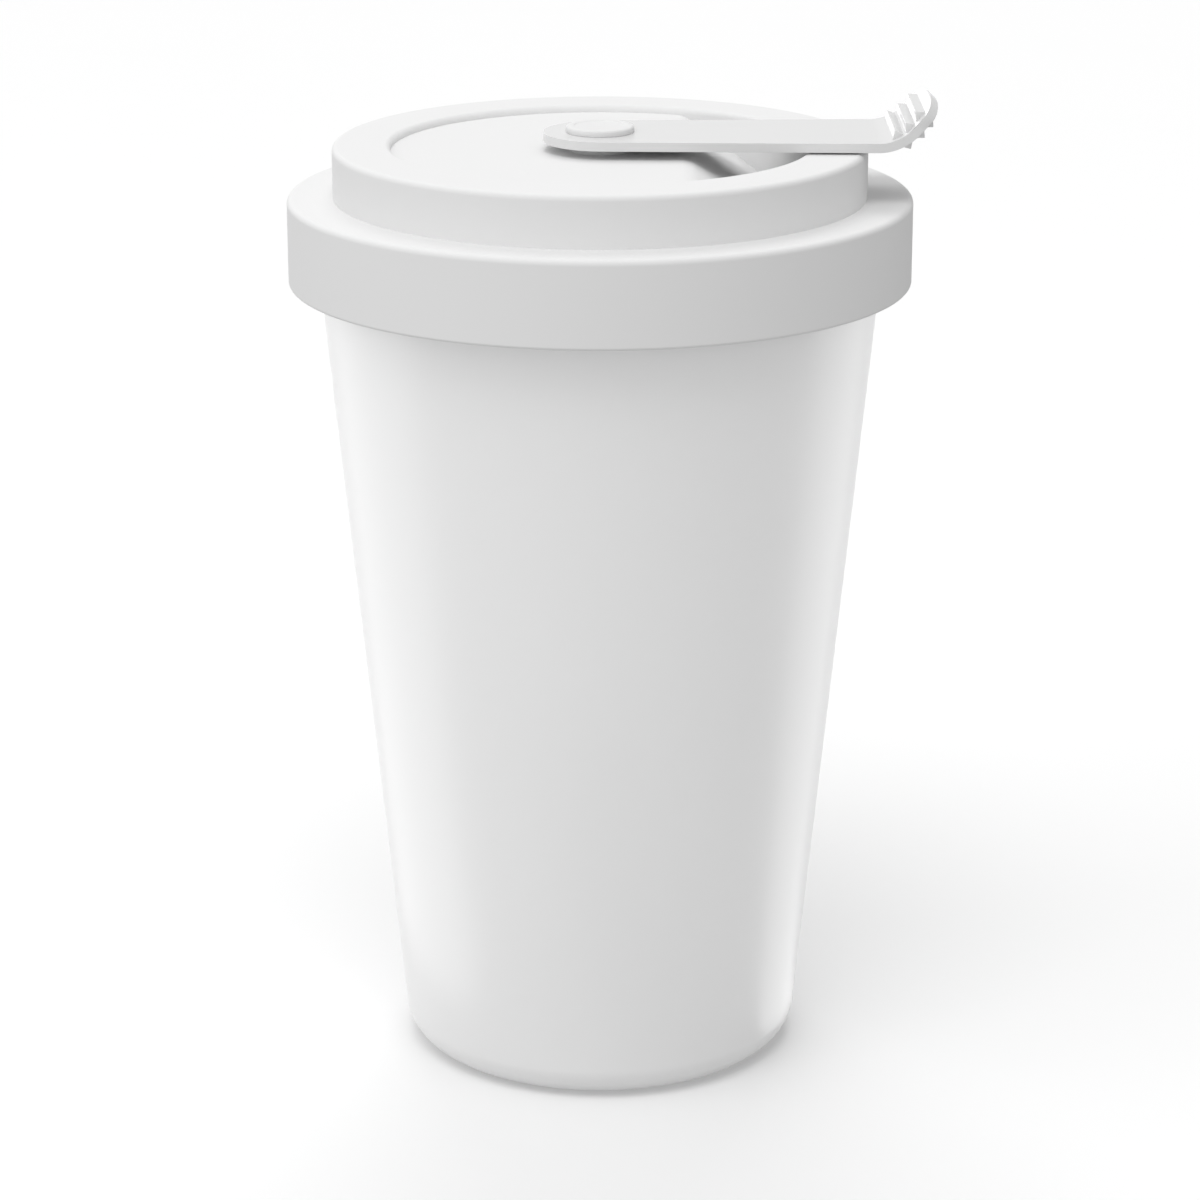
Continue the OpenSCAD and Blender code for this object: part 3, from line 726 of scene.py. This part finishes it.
class MUG_OT_pin(bpy.types.Operator):
    """Model the pivot pin with its dished head, grooved shaft and flats"""
    bl_idname = "mug.pin"
    bl_label = "Pivot Pin"

    def execute(self, context):
        p = context.scene.mug_pin
        head, high, radius = p.head_radius / MM, LEVER_TOP + p.head_height / MM, p.shaft_radius / MM
        dish, depth, flat = p.dish_radius / MM, p.dish_depth / MM, p.flat_half / MM
        bm = turned([
            (0, LEVER_TOP, 0),
            (head, LEVER_TOP, 0.08),
            (head, high, p.head_edge / MM),
            (dish, high, 0.1),
            (dish - 0.15, high - depth, 0.1),
            (0, high - depth, 0),
        ], 96)
        # The shaft is round in its bore, and has flats in the lever above and in the shutter below.
        round_low, round_high, tail_low, sink = 134.0, 144.5, 129.45, 0.1
        groove, groove_low, groove_high = 2.1, 136.9, 138.1
        poured(bm, turned([
            (0, round_low, 0),
            (radius, round_low, 0.1),
            (radius, groove_low, 0.05),
            (groove, groove_low, 0),
            (groove, groove_high, 0),
            (radius, groove_high, 0.05),
            (radius, round_high, 0.1),
            (0, round_high, 0),
        ], 96))
        poured(bm, flatted_shaft(radius, flat, round_high - sink, LEVER_TOP + sink))
        poured(bm, flatted_shaft(radius, flat, tail_low, round_low + sink))
        finished("pin_and_head", bm, "lever", "pivot_pin",
                 grained_polypropylene(tuple(p.colour)))
        dress("pin_seal_ring", nitrile_rubber(tuple(p.ring_colour)))
        dress("pin_screw", machined_stainless(tuple(p.screw_colour)))
        return {"FINISHED"}


class MUG_OT_shutter(bpy.types.Operator):
    """Finish the shutter under the drink slot and its seal"""
    bl_idname = "mug.shutter"
    bl_label = "Shutter"

    def execute(self, context):
        p = context.scene.mug_pin
        dress("shutter", natural_polypropylene(tuple(p.shutter_colour)))
        dress("shutter_seal", pressed_silicone(tuple(context.scene.mug_lid.gasket_colour)))
        return {"FINISHED"}


# Stage


def add_softbox(name, azimuth, elevation, distance, width, height, power):
    """An area lamp that looks at the mug's middle. Azimuth 0 is at the camera and 90 to its right."""
    data = bpy.data.lights.new(name, "AREA")
    data.shape, data.size, data.size_y, data.energy = "RECTANGLE", width, height, power
    lamp = bpy.data.objects.new(name, data)
    bpy.context.scene.collection.objects.link(lamp)
    a, e = math.radians(azimuth), math.radians(elevation)
    away = Vector((math.sin(a) * math.cos(e), -math.cos(a) * math.cos(e), math.sin(e)))
    lamp.location = Vector((0, 0, 0.075)) + away * distance
    lamp.rotation_euler = (-away).to_track_quat("-Z", "Y").to_euler()


def seen_directly(tree, kinds):
    """One where a ray of one of the kinds comes from, and nought elsewhere."""
    path = add_node(tree, "ShaderNodeLightPath")
    total = path.outputs[kinds[0]]
    for kind in kinds[1:]:
        total = add_node(tree, "ShaderNodeMath", {"operation": "ADD", "use_clamp": True},
                         links={0: total, 1: path.outputs[kind]}).outputs[0]
    return total


class MUG_OT_stage(bpy.types.Operator):
    """Set up the paper floor, the soft lamps and the camera"""
    bl_idname = "mug.stage"
    bl_label = "Stage"

    def execute(self, context):
        t = context.scene.mug_stage
        bm = bmesh.new()
        bmesh.ops.create_grid(bm, x_segments=1, y_segments=1, size=4.0)
        floor = linked_object("paper_floor", bm)
        # The mug gets its light from below out of the even sky, as on a lit table, and not off
        # this sheet.
        floor.visible_diffuse = floor.visible_shadow = False
        material, tree, out = new_material("white_paper")
        paper = add_node(tree, "ShaderNodeBsdfDiffuse", values={"Color": (*t.paper, 1.0)})
        tree.links.new(paper.outputs["BSDF"], out.inputs["Surface"])
        floor.data.materials.append(material)

        world = bpy.data.worlds.new("studio")
        context.scene.world = world
        world.use_nodes = True
        tree = world.node_tree
        tree.nodes.clear()
        out = add_node(tree, "ShaderNodeOutputWorld")
        way = add_node(tree, "ShaderNodeTexCoord").outputs["Generated"]
        # Even light from all round, a little stronger from the left, from above and from in front.
        dot = {"operation": "DOT_PRODUCT"}
        lean = add_node(tree, "ShaderNodeVectorMath", dot, {1: t.sky_lean}, {0: way})
        even = add_node(tree, "ShaderNodeMath", {"operation": "MULTIPLY_ADD"}, {1: t.sky, 2: t.sky},
                        {0: lean.outputs["Value"]})
        # What the gloss mirrors: white on the left, dimmer on the right and in front.
        side = add_node(tree, "ShaderNodeVectorMath", dot, {1: (-0.9, 0.25, 0.0)}, {0: way})
        room = add_node(tree, "ShaderNodeMapRange",
                        values={"From Min": -0.7, "From Max": 0.8, "To Min": t.room, "To Max": 1.4},
                        links={"Value": side.outputs["Value"]})
        glossy = seen_directly(tree, ("Is Glossy Ray",))
        mirrored = add_node(tree, "ShaderNodeMix", {"data_type": "FLOAT"},
                            links={"Factor": glossy, "A": even.outputs[0], "B": room.outputs["Result"]})
        strength = add_node(tree, "ShaderNodeMix", {"data_type": "FLOAT"}, {"B": 1.0},
                            {"Factor": seen_directly(tree, ("Is Camera Ray", "Is Transmission Ray")),
                             "A": mirrored.outputs["Result"]})
        back = add_node(tree, "ShaderNodeBackground", links={"Strength": strength.outputs["Result"]})
        tree.links.new(back.outputs[0], out.inputs["Surface"])

        add_softbox("key_softbox", azimuth=-62, elevation=42, distance=1.0, width=0.6, height=0.6, power=t.key)
        # Two wide banks of lamps overhead, behind and in front of the mug, leave only soft shadows.
        banks = (("rear_bank", t.rear, -34, 0), ("front_bank", t.front, 26, -8))
        for name, energy, tilt, turn in banks:
            lamp = bpy.data.lights.new(name, "SUN")
            lamp.energy, lamp.angle = energy, math.radians(32)
            bank = bpy.data.objects.new(name, lamp)
            bank.rotation_euler = (math.radians(tilt), 0.0, math.radians(turn))
            context.scene.collection.objects.link(bank)
        # White cards that only the gloss mirrors: by the edges of the cup, and behind for the
        # lever's tab and teeth. Their corners are in millimetres.
        for side, gain, corners in (
            ("left", 1.0, ((-44, -34, 0.2), (-60, 30, 0.2), (-380, 470, 0.2), (-500, -60, 0.2))),
            ("right", 1.0, ((34, -14, 0.2), (500, 75, 0.2), (400, 470, 0.2), (36, 8, 0.2))),
            ("back", 1.5, ((-420, 500, 0.2), (20, 500, 0.2), (60, 1100, 0.2), (-700, 1100, 0.2))),
            ("high", 1.5, ((-1000, 1200, 1), (-180, 1200, 1), (-180, 1200, 400), (-1000, 1200, 400))),
        ):
            bm = bmesh.new()
            bm.faces.new([bm.verts.new(Vector(corner) * MM) for corner in corners])
            card = linked_object(side + "_card", bm)
            card.visible_camera = card.visible_diffuse = card.visible_shadow = False
            material, tree, out = new_material(side + "_card_glow")
            glow = add_node(tree, "ShaderNodeEmission", values={"Strength": t.cards * gain})
            tree.links.new(glow.outputs[0], out.inputs["Surface"])
            card.data.materials.append(material)

        data = bpy.data.cameras.new("camera")
        data.lens, data.sensor_width = t.focal_length, 36.0
        data.clip_start, data.clip_end = 0.01, 20.0
        camera = bpy.data.objects.new("camera", data)
        context.scene.collection.objects.link(camera)
        camera.location = (0.0, -t.camera_back, t.camera_height)
        camera.rotation_euler = (math.pi / 2 - t.camera_down, 0.0, 0.0)
        context.scene.camera = camera
        context.scene.view_settings.view_transform = "Standard"
        return {"FINISHED"}


# Panel and registration


class MUG_PT_panel(bpy.types.Panel):
    """Lists the mug's pieces and their sizes"""
    bl_idname = "MUG_PT_panel"
    bl_label = "Thermal Travel Mug"
    bl_space_type = "VIEW_3D"
    bl_region_type = "UI"
    bl_category = "Mug"

    def draw(self, context):
        scene = context.scene
        for title, operators, group in (
            ("Cup", ("mug.shell", "mug.liner"), scene.mug_cup),
            ("Lid", ("mug.lid", "mug.plug"), scene.mug_lid),
            ("Lever", ("mug.lever",), scene.mug_lever),
            ("Pin and shutter", ("mug.pin", "mug.shutter"), scene.mug_pin),
            ("Stage", ("mug.stage",), scene.mug_stage),
        ):
            box = self.layout.box()
            box.label(text=title)
            for operator in operators:
                box.operator(operator)
            for name in group.__annotations__:
                box.prop(group, name)


GROUPS = {
    "mug_cup": MugCupSettings,
    "mug_lid": MugLidSettings,
    "mug_lever": MugLeverSettings,
    "mug_pin": MugPinSettings,
    "mug_stage": MugStageSettings,
}
OPERATORS = (MUG_OT_shell, MUG_OT_liner, MUG_OT_lid, MUG_OT_plug, MUG_OT_lever, MUG_OT_pin,
             MUG_OT_shutter, MUG_OT_stage)


def register():
    for name, group in GROUPS.items():
        bpy.utils.register_class(group)
        setattr(bpy.types.Scene, name, bpy.props.PointerProperty(type=group))
    for operator in OPERATORS:
        bpy.utils.register_class(operator)
    bpy.utils.register_class(MUG_PT_panel)


def unregister():
    bpy.utils.unregister_class(MUG_PT_panel)
    for operator in reversed(OPERATORS):
        bpy.utils.unregister_class(operator)
    for name, group in reversed(GROUPS.items()):
        delattr(bpy.types.Scene, name)
        bpy.utils.unregister_class(group)


def main():
    """Builds the mug and its stage."""
    register()
    bpy.ops.mug.shell()
    bpy.ops.mug.liner()
    bpy.ops.mug.lid()
    bpy.ops.mug.plug()
    bpy.ops.mug.lever()
    bpy.ops.mug.pin()
    bpy.ops.mug.shutter()
    bpy.ops.mug.stage()


if __name__ == "__main__":
    main()
